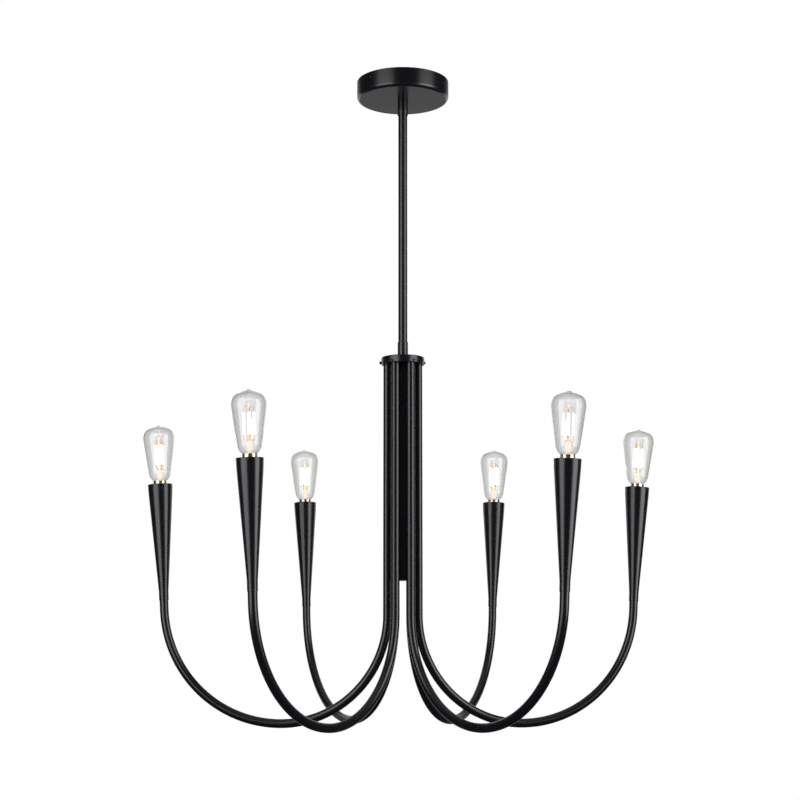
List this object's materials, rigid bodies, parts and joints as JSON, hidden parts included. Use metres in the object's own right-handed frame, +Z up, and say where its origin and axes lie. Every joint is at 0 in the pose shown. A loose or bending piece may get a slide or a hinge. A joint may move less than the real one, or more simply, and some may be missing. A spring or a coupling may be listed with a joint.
{
  "type": "multi arm chandelier",
  "caption": "Ceiling chandelier: a canopy and rod carry a hub from which slim tubes sweep down and out, each ending in a cone cup with a clear filament bulb.",
  "frame": {"origin": "centre of the ceiling plane, on the upper face of the ceiling plate", "axes": "+Z up into the ceiling; the first arm points near +X, and the others follow counter-clockwise seen from above"},
  "size_m": [0.7192, 0.6378, 0.904],
  "materials": {
    "black_powder_coat": "satin black powder coat",
    "black_screw_steel": "blackened steel screws",
    "zinc_plated_steel": "bright zinc plate",
    "white_polyamide": "moulded",
    "black_phenolic": "moulded phenolic",
    "nickel_plated_brass": "nickel plated bulb cap",
    "clear_glass": "clear blown glass",
    "led_filament": "phosphor-coated filaments on a glass stem"
  },
  "bodies": {
    "root": {"ceiling_plate": "zinc_plated_steel", "terminal_block": "white_polyamide", "earth_screw": "zinc_plated_steel", "canopy": "black_powder_coat", "canopy_screws": "black_screw_steel", "canopy_nipple": "zinc_plated_steel", "canopy_nut": "zinc_plated_steel", "top_coupling": "black_powder_coat", "downrod": "black_powder_coat", "bottom_coupling": "black_powder_coat", "hub": "black_powder_coat", "hub_lid": "black_powder_coat", "hub_set_screws": "black_screw_steel", "hub_nipple": "zinc_plated_steel", "hub_nut": "zinc_plated_steel", "core_tube": "black_powder_coat", "core_cap": "black_powder_coat"},
    "arm_1": {"arm_tube_1": "black_powder_coat", "cup_1": "black_powder_coat", "socket_stem_1": "zinc_plated_steel", "lampholder_1": "black_phenolic"},
    "bulb_1": {"bulb_base_1": "nickel_plated_brass", "bulb_glass_1": "clear_glass", "bulb_filament_1": "led_filament"},
    "arm_2": {"arm_tube_2": "black_powder_coat", "cup_2": "black_powder_coat", "socket_stem_2": "zinc_plated_steel", "lampholder_2": "black_phenolic"},
    "bulb_2": {"bulb_base_2": "nickel_plated_brass", "bulb_glass_2": "clear_glass", "bulb_filament_2": "led_filament"},
    "arm_3": {"arm_tube_3": "black_powder_coat", "cup_3": "black_powder_coat", "socket_stem_3": "zinc_plated_steel", "lampholder_3": "black_phenolic"},
    "bulb_3": {"bulb_base_3": "nickel_plated_brass", "bulb_glass_3": "clear_glass", "bulb_filament_3": "led_filament"},
    "arm_4": {"arm_tube_4": "black_powder_coat", "cup_4": "black_powder_coat", "socket_stem_4": "zinc_plated_steel", "lampholder_4": "black_phenolic"},
    "bulb_4": {"bulb_base_4": "nickel_plated_brass", "bulb_glass_4": "clear_glass", "bulb_filament_4": "led_filament"},
    "arm_5": {"arm_tube_5": "black_powder_coat", "cup_5": "black_powder_coat", "socket_stem_5": "zinc_plated_steel", "lampholder_5": "black_phenolic"},
    "bulb_5": {"bulb_base_5": "nickel_plated_brass", "bulb_glass_5": "clear_glass", "bulb_filament_5": "led_filament"},
    "arm_6": {"arm_tube_6": "black_powder_coat", "cup_6": "black_powder_coat", "socket_stem_6": "zinc_plated_steel", "lampholder_6": "black_phenolic"},
    "bulb_6": {"bulb_base_6": "nickel_plated_brass", "bulb_glass_6": "clear_glass", "bulb_filament_6": "led_filament"}
  },
  "joints": [
    {"name": "arm_1_turn", "type": "hinge", "parent": "root", "child": "arm_1", "pos_m": [0.021, 0, -0.403], "axis": [0, 0, 1], "range_deg": [-20, 20]},
    {"name": "bulb_1_out", "type": "slide", "parent": "arm_1", "child": "bulb_1", "axis": [0.0546, 0.0114, 0.9984], "range_m": [0, 0.03]},
    {"name": "arm_2_turn", "type": "hinge", "parent": "root", "child": "arm_2", "pos_m": [0.0105, 0.01819, -0.403], "axis": [0, 0, 1], "range_deg": [-20, 20]},
    {"name": "bulb_2_out", "type": "slide", "parent": "arm_2", "child": "bulb_2", "axis": [0.0235, 0.0506, 0.9984], "range_m": [0, 0.03]},
    {"name": "arm_3_turn", "type": "hinge", "parent": "root", "child": "arm_3", "pos_m": [-0.0105, 0.01819, -0.403], "axis": [0, 0, 1], "range_deg": [-20, 20]},
    {"name": "bulb_3_out", "type": "slide", "parent": "arm_3", "child": "bulb_3", "axis": [-0.0244, 0.0502, 0.9984], "range_m": [0, 0.03]},
    {"name": "arm_4_turn", "type": "hinge", "parent": "root", "child": "arm_4", "pos_m": [-0.021, 0, -0.403], "axis": [0, 0, 1], "range_deg": [-20, 20]},
    {"name": "bulb_4_out", "type": "slide", "parent": "arm_4", "child": "bulb_4", "axis": [-0.0556, 0.0053, 0.9984], "range_m": [0, 0.03]},
    {"name": "arm_5_turn", "type": "hinge", "parent": "root", "child": "arm_5", "pos_m": [-0.0105, -0.01819, -0.403], "axis": [0, 0, 1], "range_deg": [-20, 20]},
    {"name": "bulb_5_out", "type": "slide", "parent": "arm_5", "child": "bulb_5", "axis": [-0.0311, -0.0464, 0.9984], "range_m": [0, 0.03]},
    {"name": "arm_6_turn", "type": "hinge", "parent": "root", "child": "arm_6", "pos_m": [0.0105, -0.01819, -0.403], "axis": [0, 0, 1], "range_deg": [-20, 20]},
    {"name": "bulb_6_out", "type": "slide", "parent": "arm_6", "child": "bulb_6", "axis": [0.0328, -0.0452, 0.9984], "range_m": [0, 0.03]}
  ]
}
